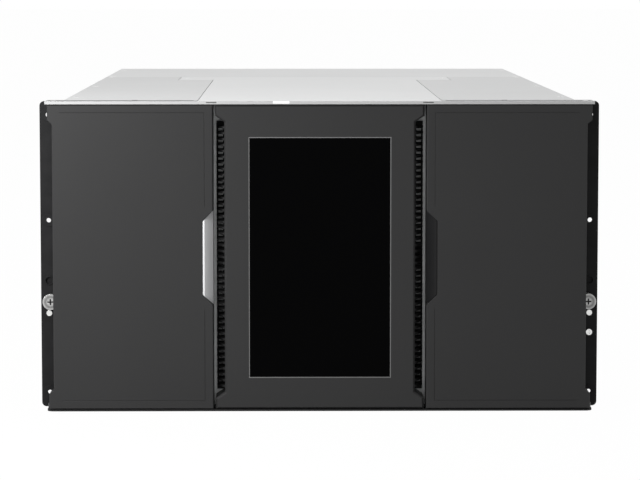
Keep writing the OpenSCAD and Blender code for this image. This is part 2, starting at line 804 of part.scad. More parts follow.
// Low-friction strips that the magazines slide on
module bay_runners() {
    color([0.1, 0.1, 0.1]) placed()
        for (side = [-1, 1], x = [mag_inner_x + 3, half_w - flange_w - runner_w - seat]) on_side(side) {
            span([x, ear_t + 2, sheet_t], [x + runner_w, bulkhead_y - 4, sheet_t + runner_h]);
            span([x, ear_t + 2, shelf_z + sheet_t],
                [x + runner_w, bulkhead_y - 4, shelf_z + sheet_t + runner_h / 2]);
        }
}

// Sheet wall behind the magazines, open in the middle for the drives
module bay_bulkhead() {
    window_x = drive_half_w + cage_t;
    color("silver") placed() difference() {
        span([-inner_x, bulkhead_y, 2 * sheet_t], [inner_x, bulkhead_y + sheet_t, cover_z - sheet_t]);
        span([-window_x, bulkhead_y - over, sheet_t], [window_x, bulkhead_y + 2 * sheet_t, cover_z - 6]);
        for (side = [-1, 1], i = [0 : 4], j = [0 : 12]) on_side(side)
            bore_y(112 + i * 22, 24 + j * 18, 12, bulkhead_y - over, bulkhead_y + 2 * sheet_t);
    }
}

// A moulded magazine, open towards the robot's aisle, with a hand hold in front
module magazine(z0) {
    handle_x0 = mag_inner_x + 26;
    handle_x1 = mag_outer_x - 26;
    difference() {
        span([mag_inner_x, mag_front_y, z0], [mag_outer_x, mag_back_y, z0 + mag_h]);
        for (c = [0 : mag_cols - 1], r = [0 : mag_rows - 1])
            span([mag_inner_x - over, mag_front_y + slot_rib + c * (slot_w + slot_rib),
                    z0 + slot_shelf + r * (slot_h + slot_shelf)],
                [mag_outer_x - mag_wall, mag_front_y + slot_rib + c * (slot_w + slot_rib) + slot_w,
                    z0 + slot_shelf + r * (slot_h + slot_shelf) + slot_h]);
        // Finger pocket behind the handle
        span([handle_x0 + 6, mag_front_y - over, z0 + mag_h / 2 - 14],
            [handle_x1 - 6, mag_front_y + slot_rib - 1.5, z0 + mag_h / 2 + 14]);
        // Windows in the outer wall save weight
        for (c = [0 : mag_cols - 1], r = [0 : mag_rows - 1])
            span([mag_outer_x - mag_wall - over, mag_front_y + slot_rib + c * (slot_w + slot_rib) + 24,
                    z0 + slot_shelf + r * (slot_h + slot_shelf) + 5],
                [mag_outer_x + over, mag_front_y + slot_rib + c * (slot_w + slot_rib) + slot_w - 24,
                    z0 + slot_shelf + r * (slot_h + slot_shelf) + slot_h - 5]);
    }
    // Bow handle
    span([handle_x0, mag_front_y - mag_handle_reach, z0 + mag_h / 2 - 7],
        [handle_x1, mag_front_y - mag_handle_reach + 3, z0 + mag_h / 2 + 7]);
    for (x = [handle_x0, handle_x1 - 4])
        span([x, mag_front_y - mag_handle_reach, z0 + mag_h / 2 - 7],
            [x + 4, mag_front_y + over, z0 + mag_h / 2 + 7]);
}

module magazine_lower_left() {
    color([0.3, 0.31, 0.33]) placed() on_side(-1) magazine(lower_mag_z);
}

module magazine_upper_left() {
    color([0.3, 0.31, 0.33]) placed() on_side(-1) magazine(upper_mag_z);
}

module magazine_lower_right() {
    color([0.3, 0.31, 0.33]) placed() on_side(1) magazine(lower_mag_z);
}

module magazine_upper_right() {
    color([0.3, 0.31, 0.33]) placed() on_side(1) magazine(upper_mag_z);
}

// One cartridge per slot, seated on its shelf, with the hub seat underneath left plain
module cartridge() {
    difference() {
        cube([cart_l, cart_w, cart_t]);
        translate([-over, -over, cart_t - 4]) cube([6 + over, 10 + over, 4 + over]);
        for (y = [4, cart_w - 12])
            translate([-over, y, 7]) cube([1.6 + over, 8, 7]);
        translate([-over, 22, 4]) cube([0.6 + over, cart_w - 44, cart_t - 8]);
    }
}

module cartridges(z0) {
    for (c = [0 : mag_cols - 1], r = [0 : mag_rows - 1])
        translate([mag_inner_x + slot_clear, mag_front_y + slot_rib + c * (slot_w + slot_rib) + slot_clear / 2,
            z0 + slot_shelf + r * (slot_h + slot_shelf)]) cartridge();
}

module cartridges_lower_left() {
    color([0.13, 0.16, 0.22]) placed() on_side(-1) cartridges(lower_mag_z);
}

module cartridges_upper_left() {
    color([0.13, 0.16, 0.22]) placed() on_side(-1) cartridges(upper_mag_z);
}

module cartridges_lower_right() {
    color([0.13, 0.16, 0.22]) placed() on_side(1) cartridges(lower_mag_z);
}

module cartridges_upper_right() {
    color([0.13, 0.16, 0.22]) placed() on_side(1) cartridges(upper_mag_z);
}

// Robot in the aisle between the magazines
module robot_rails() {
    color("silver") placed()
        for (side = [-1, 1])
            span([side * rail_x - 4, ear_t + 6, sheet_t], [side * rail_x + 4, bulkhead_y, sheet_t + 8]);
}

module robot_carriage() {
    z0 = sheet_t + 8 + seat;
    z_top = cover_z - 12;
    color("dimgray") placed() {
        difference() {
            union() {
                span([-rail_x - 10, carriage_y, z0], [rail_x + 10, carriage_y + carriage_d, z0 + 6]);
                for (side = [-1, 1]) on_side(side)
                    span([rail_x + 4 + seat, carriage_y, sheet_t + 2],
                        [rail_x + 10, carriage_y + carriage_d, z0 + over]);
                span([-rail_x - 10, carriage_y, z_top - 5], [rail_x + 10, carriage_y + 20, z_top]);
                for (side = [-1, 1]) on_side(side)
                    span([rail_x + 4, carriage_y, z0], [rail_x + 10, carriage_y + 20, z_top]);
            }
            span([-40, carriage_y + 34, z0 - over], [40, carriage_y + carriage_d - 14, z0 + 6 + over]);
        }
        for (side = [-1, 1])
            translate([side * (rail_x - 14), carriage_y + 10, z0 + 6 - over])
                cylinder(h = z_top - z0 - 10, d = rod_d);
    }
}

module robot_lift() {
    z0 = sheet_t + picker_z;
    color("gray") placed() difference() {
        union() {
            span([-rail_x + 2, carriage_y + 1, z0], [rail_x - 2, carriage_y + 19, z0 + 16]);
            span([-34, carriage_y + 19 - over, z0], [34, turn_y, z0 + 4]);
            translate([0, turn_y, z0]) cylinder(h = 4, r = 34);
        }
        for (side = [-1, 1])
            translate([side * (rail_x - 14), carriage_y + 10, z0 - over])
                cylinder(h = 16 + 2 * over, d = rod_d + 0.1);
        translate([0, turn_y, z0 - over]) cylinder(h = 4 + 2 * over, d = 16);
    }
}

module robot_turntable() {
    z0 = sheet_t + picker_z + 4 + seat;
    color("darkgray") placed() translate([0, turn_y, z0]) {
        difference() {
            union() {
                cylinder(h = 3, r = 36);
                translate([-32, -30, 3 - over]) cube([64, 60, 26 + over]);
            }
            translate([-27, -25, 4]) cube([54 + 5 + over, 50, 22]);
        }
        translate([0, 0, -4 - seat - 1.5]) cylinder(h = 5.5 + seat, d = 15.9);
    }
}

module robot_gripper() {
    z0 = sheet_t + picker_z + 4 + seat + 4 + seat;
    color("silver") placed() translate([0, turn_y, z0]) difference() {
        translate([-24, -24, 0]) cube([56, 48, 20]);
        translate([4, -18, -over]) cube([30, 36, 20 + 2 * over]);
        translate([-20, -18, 6]) cube([22, 36, 20]);
    }
}

// Drive cage: two walls with a ledge under each sled
module drive_cage() {
    color("silver") placed() {
        for (side = [-1, 1]) on_side(side) difference() {
            union() {
                span([drive_half_w, bulkhead_y, sheet_t],
                    [drive_half_w + cage_t, rear_y - seat, sled_z0 + drive_bays * drive_pitch]);
                for (i = [0 : drive_bays - 1])
                    span([drive_half_w - 7, rear_y - sled_d, sled_z0 + i * drive_pitch - cage_t],
                        [drive_half_w, rear_y - seat, sled_z0 + i * drive_pitch]);
            }
            for (i = [0 : drive_bays - 1], y = [bulkhead_y + 20 : 40 : rear_y - 50])
                translate([drive_half_w - over, y, sled_z0 + i * drive_pitch + sled_h / 2])
                    rotate([0, 90, 0]) cylinder(h = cage_t + 2 * over, d = 16);
        }
        span([-drive_half_w, rear_y - sled_d - 8, sheet_t], [drive_half_w, rear_y - sled_d - 8 + cage_t, 4]);
    }
}

// A half-height tape drive in its sled, with ports, a pull handle and two captive screws
module drive_sled(bay) {
    z0 = sled_z0 + bay * drive_pitch + seat;
    x = drive_half_w - module_gap;
    y0 = chassis_d - sled_d;
    difference() {
        span([-x, y0, z0], [x, chassis_d - sheet_t, z0 + sled_h]);
        span([-x + 12, y0 - over, z0 + 8], [x - 12, y0 + 14, z0 + sled_h - 8]);
        for (side = [-1, 1]) on_side(side)
            span([x - 7, y0 - over, z0 - over], [x + over, y0 + 20, z0 + 5]);
    }
    difference() {
        span([-x - 1.2, chassis_d, z0 - 0.4], [x + 1.2, chassis_d + 1.5, z0 + sled_h + 0.4]);
        slot_row(-70, z0 + 27, 9, 9, [6, 3], chassis_d - over, chassis_d + 3);
        slot_row(-70, z0 + 21, 9, 9, [6, 3], chassis_d - over, chassis_d + 3);
        for (i = [0, 1])
            span([22 + i * 26, chassis_d + 0.5, z0 + 20], [42 + i * 26, chassis_d + 3, z0 + 31]);
    }
    span([-x + 4, chassis_d - sheet_t, z0 + 2], [x - 4, chassis_d, z0 + sled_h - 2]);
    for (side = [-1, 1])
        bore_y(side * (x - 6), z0 + 7, 8, chassis_d + 1.5, chassis_d + 8);
    for (end = [-26, 20])
        span([end, chassis_d + 1.5, z0 + 6], [end + 6, chassis_d + 16, z0 + 12]);
    span([-26, chassis_d + 13, z0 + 6], [26, chassis_d + 17, z0 + 12]);
}

module drive_sled_1() {
    color([0.6, 0.6, 0.6]) placed() drive_sled(0);
}

module drive_sled_2() {
    color([0.6, 0.6, 0.6]) placed() drive_sled(1);
}

module drive_sled_3() {
    color([0.6, 0.6, 0.6]) placed() drive_sled(2);
}

// Plates over the drive bays that hold no drive
module bay_blanks() {
    x = drive_half_w + 0.7;
    color([0.7, 0.7, 0.7]) placed()
        for (bay = [3 : drive_bays - 1]) {
            z0 = sled_z0 + bay * drive_pitch + seat;
            difference() {
                span([-x, chassis_d, z0 - 0.4], [x, chassis_d + 1.5, z0 + sled_h + 0.4]);
                slot_row(-66, z0 + 8, 15, 9, [5, 24], chassis_d - over, chassis_d + 3);
            }
            for (side = [-1, 1])
                bore_y(side * (x - 7), z0 + sled_h / 2, 8, chassis_d + 1.5, chassis_d + 8);
        }
}

// Side cages for the slide-in modules
module module_cage(count) {
    x1 = module_x + module_w + cage_t;
    top = module_z + count * (psu_h + module_gap + cage_t);
    for (i = [0 : count])
        span([module_x, rear_y - psu_d - 4, module_z + i * (psu_h + module_gap + cage_t) - cage_t],
            [x1, rear_y - seat, module_z + i * (psu_h + module_gap + cage_t)]);
    for (x = [module_x - cage_t, x1 - cage_t])
        span([x, rear_y - psu_d - 4, sheet_t], [x + cage_t, rear_y - seat, top]);
}

module module_cage_left() {
    color("silver") placed() on_side(-1) module_cage(1);
}

module module_cage_right() {
    color("silver") placed() on_side(1) module_cage(2);
}

// A hot-swap power supply with a wire fan guard, an inlet and a handle
module power_supply(slot) {
    x0 = module_x + module_gap;
    x1 = module_x + module_w - module_gap;
    z0 = module_z + slot * (psu_h + module_gap + cage_t) + seat;
    fan_x = x1 - 26;
    fan_z = z0 + psu_h / 2;
    inlet_x = x0 + 24;
    difference() {
        span([x0, chassis_d - psu_d, z0], [x1, chassis_d + 2, z0 + psu_h - seat]);
        bore_y(fan_x, fan_z, 38, chassis_d - 6, chassis_d + 3);
        span([inlet_x - 14, chassis_d - 16, fan_z - 10], [inlet_x + 14, chassis_d + 3, fan_z + 10]);
        slot_row(x0 + 8, z0 + 6, 12, 7.5, [4, psu_h - 12], chassis_d - psu_d - over, chassis_d - psu_d + 4);
    }
    for (ring = [10, 20, 30])
        translate([fan_x, chassis_d + 2, fan_z]) rotate([90, 0, 0]) rotate_extrude()
            translate([ring / 2, 0]) square([1.4, 1.4]);
    for (turn = [45, 135])
        translate([fan_x, chassis_d + 1, fan_z]) rotate([0, turn, 0]) cube([37, 1.2, 1.6], center = true);
    // Inlet pins
    for (pin = [[-7, 2], [0, -3], [7, 2]])
        span([inlet_x + pin[0] - 1, chassis_d - 17, fan_z + pin[1] - 2.5],
            [inlet_x + pin[0] + 1, chassis_d - 3, fan_z + pin[1] + 2.5]);
    // Handle between the inlet and the fan
    for (z = [z0 + 5, z0 + psu_h - 11])
        span([inlet_x + 21, chassis_d + 2 - over, z], [inlet_x + 25, chassis_d + 17, z + 5]);
    span([inlet_x + 21, chassis_d + 14, z0 + 5], [inlet_x + 25, chassis_d + 18, z0 + psu_h - 6]);
}

module power_supply_1() {
    color([0.65, 0.65, 0.65]) placed() power_supply(0);
}

module power_supply_2() {
    color([0.65, 0.65, 0.65]) placed() power_supply(1);
}

// The library's controller, with two network ports, two USB ports and a service port
module controller_module() {
    x0 = module_x + module_gap;
    x1 = module_x + module_w - module_gap;
    z0 = module_z + seat;
    color([0.65, 0.65, 0.65]) placed() on_side(-1) {
        difference() {
            span([x0, chassis_d - psu_d, z0], [x1, chassis_d - 1.5, z0 + 3]);
            for (x = [x0 + 8, x1 - 8], y = [chassis_d - psu_d + 10, chassis_d - 20])
                translate([x, y, z0 - over]) cylinder(h = 5, d = 4);
        }
        span([x0 + 14, chassis_d - 150, z0 + 3], [x0 + 50, chassis_d - 114, z0 + 9]);
        for (i = [0 : 3])
            span([x1 - 30, chassis_d - 190 + i * 18, z0 + 3], [x1 - 8, chassis_d - 182 + i * 18, z0 + 24]);
        difference() {
            union() {
                for (i = [0, 1]) {
                    span([x0 + 14 + i * 20, chassis_d - 22, z0 + 3 - over],
                        [x0 + 31 + i * 20, chassis_d - 1.5, z0 + 19]);
                    span([x0 + 58 + i * 16, chassis_d - 20, z0 + 3 - over],
                        [x0 + 72 + i * 16, chassis_d - 1.5, z0 + 12]);
                }
                span([x0, chassis_d - 1.5, z0], [x1, chassis_d + 1.5, z0 + psu_h - seat]);
            }
            for (i = [0, 1]) {
                span([x0 + 16 + i * 20, chassis_d - 16, z0 + 5], [x0 + 29 + i * 20, chassis_d + 3, z0 + 17]);
                span([x0 + 60 + i * 16, chassis_d - 14, z0 + 5], [x0 + 70 + i * 16, chassis_d + 3, z0 + 10]);
            }
            slot_row(x0 + 20, z0 + 24, 9, 7, [4, 12], chassis_d - 3, chassis_d + 3);
        }
        for (x = [x0 + 7, x1 - 7])
            bore_y(x, z0 + psu_h / 2, 9, chassis_d + 1.5, chassis_d + 10);
    }
}

// Cooling fans behind the rear vents
function fan_center() = [module_x + module_w / 2, cover_z - fan_size / 2 - 10];

module fan_frame() {
    c = fan_center();
    y0 = rear_y - seat - fan_depth;
    difference() {
        span([c[0] - fan_size / 2, y0, c[1] - fan_size / 2],
            [c[0] + fan_size / 2, y0 + fan_depth, c[1] + fan_size / 2]);
        bore_y(c[0], c[1], fan_size - 4, y0 - over, y0 + fan_depth + over);
        for (x = [-1, 1], z = [-1, 1])
            bore_y(c[0] + x * (fan_size / 2 - 4.5), c[1] + z * (fan_size / 2 - 4.5), 4, y0 - over,
                y0 + fan_depth + over);
    }
    for (turn = [0, 90])
        translate([c[0], y0 + 1.5, c[1]]) rotate([0, turn + 30, 0])
            cube([fan_size - 3, 3, 4], center = true);
    bore_y(c[0], c[1], 26, y0, y0 + 3);
    bore_y(c[0], c[1], 5, y0, y0 + fan_depth - 5);
    span([c[0] + fan_size / 2, y0 + 4, c[1] - 20], [inner_x, y0 + 6, c[1] + 20]);
}

module fan_frames() {
    color([0.1, 0.1, 0.1]) placed()
        for (side = [-1, 1]) on_side(side) fan_frame();
}

// Hub and seven pitched blades
module fan_rotor() {
    blades = 7;
    c = fan_center();
    y0 = rear_y - seat - fan_depth + 4;
    reach = fan_size / 2 - 3;
    translate([c[0], y0, c[1]]) difference() {
        union() {
            bore_y(0, 0, 28, 0, fan_depth - 7);
            intersection() {
                bore_y(0, 0, 2 * reach, 0, fan_depth - 7);
                for (i = [0 : blades - 1])
                    rotate([0, i * 360 / blades, 0]) translate([12, (fan_depth - 7) / 2, 0]) rotate([38, 0, 0])
                        translate([0, -9, -0.8]) cube([reach, 18, 1.6]);
            }
        }
        bore_y(0, 0, 5.1, -over, fan_depth - 8);
    }
}

module fan_rotor_left() {
    color([0.15, 0.15, 0.15]) placed() on_side(-1) fan_rotor();
}

module fan_rotor_right() {
    color([0.15, 0.15, 0.15]) placed() on_side(1) fan_rotor();
}

// Rear panel with openings for every module and round-holed fan vents
module rear_panel() {
    c = fan_center();
    module_x1 = module_x + module_w;
    left_h = psu_h + module_gap;
    right_h = 2 * (psu_h + module_gap) + cage_t;
    color("silver") placed() difference() {
        span([-inner_x, rear_y, sheet_t], [inner_x, chassis_d, cover_z]);
        span([-drive_half_w, rear_y - over, sled_z0 - 0.2],
            [drive_half_w, chassis_d + over, sled_z0 + drive_bays * drive_pitch - 0.2]);
        span([module_x, rear_y - over, module_z], [module_x1, chassis_d + over, module_z + right_h]);
        span([-module_x1, rear_y - over, module_z], [-module_x, chassis_d + over, module_z + left_h]);
        for (side = [-1, 1]) on_side(side)
            for (i = [-4 : 4], j = [-4 : 4])
                if (norm([i, j]) < 4.4)
                    bore_y(c[0] + i * 8.4, c[1] + j * 8.4, 6.4, rear_y - over, chassis_d + over);
        slot_row(-module_x1 + 6, module_z + left_h + 16, 13, 7.4, [4, 34], rear_y - over, chassis_d + over);
    }
}

// Bow handles beside the drive bays
module rear_handles() {
    color("dimgray") placed()
        for (side = [-1, 1]) on_side(side) {
            x = half_w - 9;
            for (z = [100, 150])
                bore_y(x, z, handle_d, chassis_d, chassis_d + handle_reach - handle_d * 1.5);
            translate([x, chassis_d + handle_reach - handle_d * 1.5, 0]) {
                translate([0, 0, 100]) intersection() {
                    translate([0, 0, 8]) rotate([0, 90, 0]) rotate_extrude() translate([8, 0]) circle(d = 8);
                    translate([-4, 0, -4]) cube([8, 12, 12]);
                }
                translate([0, 0, 150]) intersection() {
                    translate([0, 0, -8]) rotate([0, 90, 0]) rotate_extrude() translate([8, 0]) circle(d = 8);
                    translate([-4, 0, -8]) cube([8, 12, 12]);
                }
                translate([0, 8, 108]) cylinder(h = 34, d = 8);
            }
        }
}

// Screws of the covers, the side panels and the rear panel
module cover_screw() {
    difference() {
        union() {
            cylinder(h = screw_head_h, d = screw_head_d);
            translate([0, 0, -4]) cylinder(h = 4 + over / 2, d = screw_shank_d);
        }
        for (turn = [0, 90])
            rotate(turn) translate([-1.7, -0.4, screw_head_h - 0.5]) cube([3.4, 0.8, 1]);
    }
}

module cover_screws() {
    color("silver") placed()
        for (spot = cover_screw_spots)
            translate([spot[0], spot[1], chassis_h - screw_head_h]) cover_screw();
}

floor_sheet();
side_panel_left();
side_panel_right();
cover_left();
cover_right();
cover_centre();
cover_rear();
front_frame();
front_hood();
front_sill();
rack_ear_left();
rack_ear_right();
ear_rivets();
hinge_pins();
door_left_shell();
door_left_grip();
door_right_shell();
door_right_grip();
thumbscrew_left();
thumbscrew_right();
bezel_shell();
screen_glass();
screen_trim();
display_module();
display_board();
vent_grille_left();
vent_grille_right();
bay_shelf_left();
bay_shelf_right();
bay_runners();
bay_bulkhead();
magazine_lower_left();
magazine_upper_left();
magazine_lower_right();
magazine_upper_right();
cartridges_lower_left();
cartridges_upper_left();
cartridges_lower_right();
cartridges_upper_right();
robot_rails();
robot_carriage();
robot_lift();
robot_turntable();
robot_gripper();
drive_cage();
drive_sled_1();
drive_sled_2();
drive_sled_3();
bay_blanks();
module_cage_left();
module_cage_right();
power_supply_1();
power_supply_2();
controller_module();
fan_frames();
fan_rotor_left();
fan_rotor_right();
rear_panel();
rear_handles();
cover_screws();
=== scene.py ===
"""Looks of the data tape library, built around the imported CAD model."""

import json
import math

import bmesh
import bpy
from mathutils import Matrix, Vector


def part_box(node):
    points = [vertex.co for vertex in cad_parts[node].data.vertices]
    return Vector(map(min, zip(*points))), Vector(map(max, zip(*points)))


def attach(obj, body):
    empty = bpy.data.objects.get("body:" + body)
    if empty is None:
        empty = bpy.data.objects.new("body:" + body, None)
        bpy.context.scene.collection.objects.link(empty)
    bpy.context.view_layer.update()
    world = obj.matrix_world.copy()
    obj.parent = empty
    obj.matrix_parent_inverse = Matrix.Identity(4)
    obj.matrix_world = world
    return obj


MM = 0.001
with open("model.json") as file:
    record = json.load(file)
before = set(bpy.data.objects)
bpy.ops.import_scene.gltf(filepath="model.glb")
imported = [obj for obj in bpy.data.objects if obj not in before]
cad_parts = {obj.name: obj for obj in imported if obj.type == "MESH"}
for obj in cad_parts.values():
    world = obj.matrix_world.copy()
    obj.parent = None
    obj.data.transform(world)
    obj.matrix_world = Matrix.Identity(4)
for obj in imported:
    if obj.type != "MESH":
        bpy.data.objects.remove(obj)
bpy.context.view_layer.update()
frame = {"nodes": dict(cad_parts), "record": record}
NODES = frame["nodes"]


# ---------------------------------------------------------------- node trees
def new_material(name):
    """A material with an empty node tree."""
    material = bpy.data.materials.new(name)
    material.use_nodes = True
    tree = material.node_tree
    tree.nodes.clear()
    return material, tree


def node(tree, kind, **settings):
    """A node with its properties, and its inputs where a setting starts with in_."""
    made = tree.nodes.new(kind)
    for key, value in settings.items():
        if key.startswith("in_"):
            made.inputs[key[3:].replace("_", " ")].default_value = value
        else:
            setattr(made, key, value)
    return made


def maths(tree, operation, *values, clamp=False):
    """The result of a math node whose inputs are sockets or plain numbers."""
    made = node(tree, "ShaderNodeMath", operation=operation, use_clamp=clamp)
    for socket, value in zip(made.inputs, values):
        if isinstance(value, bpy.types.NodeSocket):
            tree.links.new(value, socket)
        else:
            socket.default_value = value
    return made.outputs[0]


def mapped(tree, coords, **settings):
    """The coordinates after a mapping node with these settings."""
    mapping = node(tree, "ShaderNodeMapping", **settings)
    tree.links.new(coords, mapping.inputs["Vector"])
    return mapping.outputs["Vector"]


def noise(tree, coords, scale, detail):
    """Noise from 0 to 1 with about scale bumps per metre."""
    made = node(tree, "ShaderNodeTexNoise", in_Scale=scale, in_Detail=detail)
    tree.links.new(coords, made.inputs["Vector"])
    return made.outputs["Fac"]


def varied_colour(tree, coords, color, spread, scale):
    """A colour that drifts by spread to either side of color, over patches of 1/scale metres."""
    ramp = node(tree, "ShaderNodeValToRGB")
    darkest, lightest = ramp.color_ramp.elements
    darkest.position = 0.3
    lightest.position = 0.7
    darkest.color = [c * (1 - spread) for c in color] + [1]
    lightest.color = [min(1, c * (1 + spread)) for c in color] + [1]
    tree.links.new(noise(tree, coords, scale, detail=4.0), ramp.inputs["Fac"])
    return ramp.outputs["Color"]


def varied_rough(tree, coords, rough, drift, scale):
    """A roughness that drifts by up to drift, over patches of 1/scale metres."""
    spans = node(tree, "ShaderNodeMapRange", in_To_Min=rough - drift, in_To_Max=rough + drift)
    tree.links.new(noise(tree, coords, scale, detail=5.0), spans.inputs["Value"])
    return spans.outputs["Result"]


def in_box(tree, coords, low, high):
    """1 inside the box from low to high, in millimetres, and 0 outside it.

    A box on the right of X = 0 is mirrored to the left.
    """
    split = node(tree, "ShaderNodeSeparateXYZ")
    tree.links.new(coords, split.inputs[0])
    inside = None
    for axis in range(3):
        value = split.outputs[axis]
        if axis == 0 and low[0] >= 0:
            value = maths(tree, "ABSOLUTE", value)
        offset = maths(tree, "SUBTRACT", value, (low[axis] + high[axis]) / 2 * MM)
        distance = maths(tree, "ABSOLUTE", offset)
        near = maths(tree, "LESS_THAN", distance, (high[axis] - low[axis]) / 2 * MM)
        inside = near if inside is None else maths(tree, "MULTIPLY", inside, near)
    return inside


def workings(material):
    """A surface's node tree, its shader and its object coordinates."""
    tree = material.node_tree
    shader = next(n for n in tree.nodes if n.type == "BSDF_PRINCIPLED")
    coords = next(n for n in tree.nodes if n.type == "TEX_COORD").outputs["Object"]
    return tree, shader, coords


def paint_boxes(material, marks):
    """Paints each (low, high, colour) box over the material's base colour."""
    tree, shader, coords = workings(material)
    color = shader.inputs["Base Color"].links[0].from_socket
    for low, high, mark in marks:
        mix = node(tree, "ShaderNodeMixRGB", in_Color2=(*mark, 1))
        tree.links.new(in_box(tree, coords, low, high), mix.inputs["Fac"])
        tree.links.new(color, mix.inputs["Color1"])
        color = mix.outputs["Color"]
    tree.links.new(color, shader.inputs["Base Color"])


def surface(name, color, rough, metallic=0.0, specular=0.5, spread=0.05, patch=18.0, grain=1800.0,
            grain_height=0.02, stretch=(1, 1, 1), edge=0.35):
    """A painted, moulded or metal surface: drifting colour and roughness, fine grain and soft edges.

    patch is the colour patches per metre, and spread how far the colour drifts over them. grain is
    the bumps per metre, and grain_height their height in millimetres. A stretch below 1 draws the
    bumps out along that axis. edge is the radius in millimetres that softens the corners.
    """
    rough_drift = 0.06
    bumps_per_rough_patch = 12
    bump_strength = 0.6
    material, tree = new_material(name)
    coords = node(tree, "ShaderNodeTexCoord").outputs["Object"]
    drawn_out = mapped(tree, coords, in_Scale=stretch)
    shader = node(tree, "ShaderNodeBsdfPrincipled", in_Metallic=metallic, in_Specular_IOR_Level=specular)
    out = node(tree, "ShaderNodeOutputMaterial")
    tree.links.new(shader.outputs["BSDF"], out.inputs["Surface"])
    tree.links.new(varied_colour(tree, coords, color, spread, patch), shader.inputs["Base Color"])
    roughness = varied_rough(tree, drawn_out, rough, rough_drift, grain / bumps_per_rough_patch)
    tree.links.new(roughness, shader.inputs["Roughness"])
    bump = node(tree, "ShaderNodeBump", in_Strength=bump_strength, in_Distance=grain_height * MM)
    tree.links.new(noise(tree, drawn_out, grain, detail=2.0), bump.inputs["Height"])
    bevel = node(tree, "ShaderNodeBevel", samples=6, in_Radius=edge * MM)
    tree.links.new(bevel.outputs["Normal"], bump.inputs["Normal"])
    tree.links.new(bump.outputs["Normal"], shader.inputs["Normal"])
    return material


# ---------------------------------------------------------------- materials
def make_materials():
    """One finish for each material slot of the record."""
    along_x = (0.02, 1, 1)
    along_z = (1, 1, 0.03)
    shell = dict(color=(0.021, 0.021, 0.0213), rough=0.42, specular=0.22, spread=0.03, patch=10,
                 grain=2400, grain_height=0.03)
    finishes = {
        "zinc_sheet": dict(color=(0.52, 0.53, 0.53), rough=0.42, metallic=0.85, spread=0.08, patch=60,
                           grain=700, stretch=along_x),
        "ear_black": dict(color=(0.009, 0.009, 0.0095), rough=0.5, specular=0.12, spread=0.3, patch=90,
                          grain=1300, grain_height=0.05),
        "sill_black": dict(color=(0.012, 0.012, 0.0125), rough=0.5, specular=0.15, spread=0.1, patch=60),
        "bright_screw": dict(color=(0.75, 0.75, 0.74), rough=0.28, metallic=1.0, spread=0.08, patch=300,
                             edge=0.2),
        "door_plastic": shell,
        "bezel_plastic": shell,
        # grip_silver is a painted reflection: light grey for the light caught by a dark glossy grip
        # insert like grip_dark.
        "grip_silver": dict(color=(0.7, 0.7, 0.71), rough=0.4, metallic=0.3, spread=0.03, patch=30,
                            grain=2600, grain_height=0.01, stretch=along_z),
        "grip_dark": dict(color=(0.008, 0.008, 0.0085), rough=0.45, specular=0.15, patch=30),
        "screen_black": dict(color=(0.0006, 0.0006, 0.0007), rough=0.12, specular=0.02, spread=0.1,
                             patch=3, grain=50, grain_height=0.0, edge=0.15),
        "trim_grey": dict(color=(0.13, 0.13, 0.13), rough=0.4, spread=0.04, patch=20, edge=0.1),
        "display_metal": dict(color=(0.45, 0.45, 0.46), rough=0.4, metallic=0.9),
        "board_green": dict(color=(0.015, 0.09, 0.04), rough=0.4, spread=0.2, patch=200),
        "vent_plastic": dict(color=(0.01, 0.01, 0.0102), rough=0.5, specular=0.12, patch=40, edge=0.2),
        "runner_plastic": dict(color=(0.02, 0.02, 0.02), rough=0.45),
        "magazine_plastic": dict(color=(0.1, 0.1, 0.11), rough=0.5, patch=15),
        "cartridge_plastic": dict(color=(0.02, 0.027, 0.045), rough=0.45, spread=0.06, patch=25),
        "robot_metal": dict(color=(0.42, 0.42, 0.43), rough=0.38, metallic=0.9),
        "robot_plastic": dict(color=(0.05, 0.05, 0.055), rough=0.5),
        "sled_metal": dict(color=(0.5, 0.5, 0.5), rough=0.4, metallic=0.85, spread=0.06, patch=50,
                           grain=900, stretch=along_x),
        "fan_plastic": dict(color=(0.018, 0.018, 0.018), rough=0.45),
        "handle_dark": dict(color=(0.06, 0.06, 0.06), rough=0.4),
    }
    materials = {slot: surface(slot, **finish) for slot, finish in finishes.items()}
    materials["cover_paint"] = cover_sheet("cover_paint", 0.63)
    return materials


def cover_sheet(name, shade):
    """Light grey powder coat of that shade; its lighter and darker copies are painted light and painted
    shade for how the light falls on each sheet.
    """
    return surface(name, (shade, shade * 1.005, shade * 1.005), 0.5, specular=0.4, spread=0.02, patch=6,
                   grain=1500, grain_height=0.015)


def make_hood_paint():
    """The hood's coat: a darker copy of the cover paint as painted shade, painted shade in the gaps along
    the covers and in its slots, a short painted shadow on its lip, and its pale tab.
    """
    # A darker copy of the cover paint: painted shade on the hood, whose front lip catches less light.
    material = cover_sheet("hood_paint", 0.42)
    low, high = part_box("front_hood")
    front = low.y / MM
    top = high.z / MM
    # Painted shade lines in the gaps between the hood and the side covers run between these two X
    # positions.
    gap_shade_start, gap_shade_end = 108, high.x / MM - 2
    # Painted shade in a slot on the hood's top lies between these two X positions.
    slot_shade_start, slot_shade_end = 156.5, 161.5
    shadow_start, shadow_end = 88, 97
    tab_start, tab_end = -40, -26
    # The colour of the painted shade in the gaps and the slots.
    painted_shade = (0.02, 0.02, 0.02)
    shadow = (0.08, 0.08, 0.08)
    pale = (0.9, 0.9, 0.9)
    paint_boxes(material, [
        # Painted shade in the gap in front of each side cover.
        ((gap_shade_start, front + 10, top - 0.5), (gap_shade_end, front + 20, top + 1), painted_shade),
        # Painted shade in the slot on each side.
        ((slot_shade_start, front + 19, top - 0.5), (slot_shade_end, front + 28, top + 1), painted_shade),
        ((shadow_start, front - 1, top - 1.5), (shadow_end, front + 1, top - 0.5), shadow),
        ((tab_start, front - 1, top - 1.8), (tab_end, front + 2, top + 1), pale),
    ])
    return material


